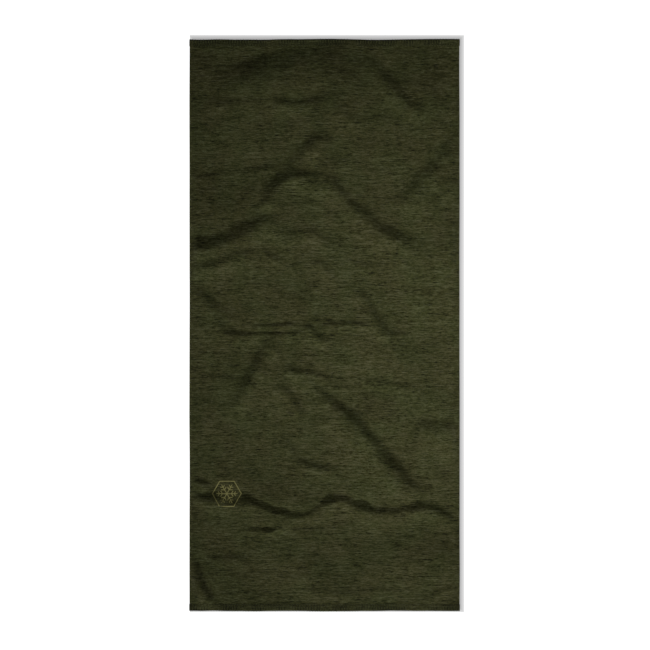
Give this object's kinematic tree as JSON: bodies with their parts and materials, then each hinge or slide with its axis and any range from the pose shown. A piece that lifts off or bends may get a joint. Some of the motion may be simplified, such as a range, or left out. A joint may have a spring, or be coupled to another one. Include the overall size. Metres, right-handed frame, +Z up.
{
  "type": "neck gaiter",
  "caption": "Long seamless tubular neck gaiter in fine marled wool jersey, laid flat, with overlocked mouths, a small transfer print near one corner and a sewn-in care label.",
  "frame": {"origin": "middle of the face that lies on the table", "axes": "+Y along the tube from the lower mouth, where the print and the label are, to the upper mouth; +X across the tube, from the side fold next to the print to the other side fold; +Z up, out of the front layer"},
  "size_m": [0.246, 0.522, 0.0088],
  "materials": {
    "wool_jersey": "matte",
    "overlock_thread": "matte",
    "transfer_print": "matte",
    "label_satin": "satin"
  },
  "bodies": {
    "root": {"knit_tube": "wool_jersey", "upper_mouth_needle_thread": "overlock_thread", "upper_mouth_upper_looper_thread": "overlock_thread", "upper_mouth_lower_looper_thread": "overlock_thread", "lower_mouth_needle_thread": "overlock_thread", "lower_mouth_upper_looper_thread": "overlock_thread", "lower_mouth_lower_looper_thread": "overlock_thread", "print_border": "transfer_print", "print_snowflake": "transfer_print", "care_label": "label_satin"}
  },
  "joints": []
}
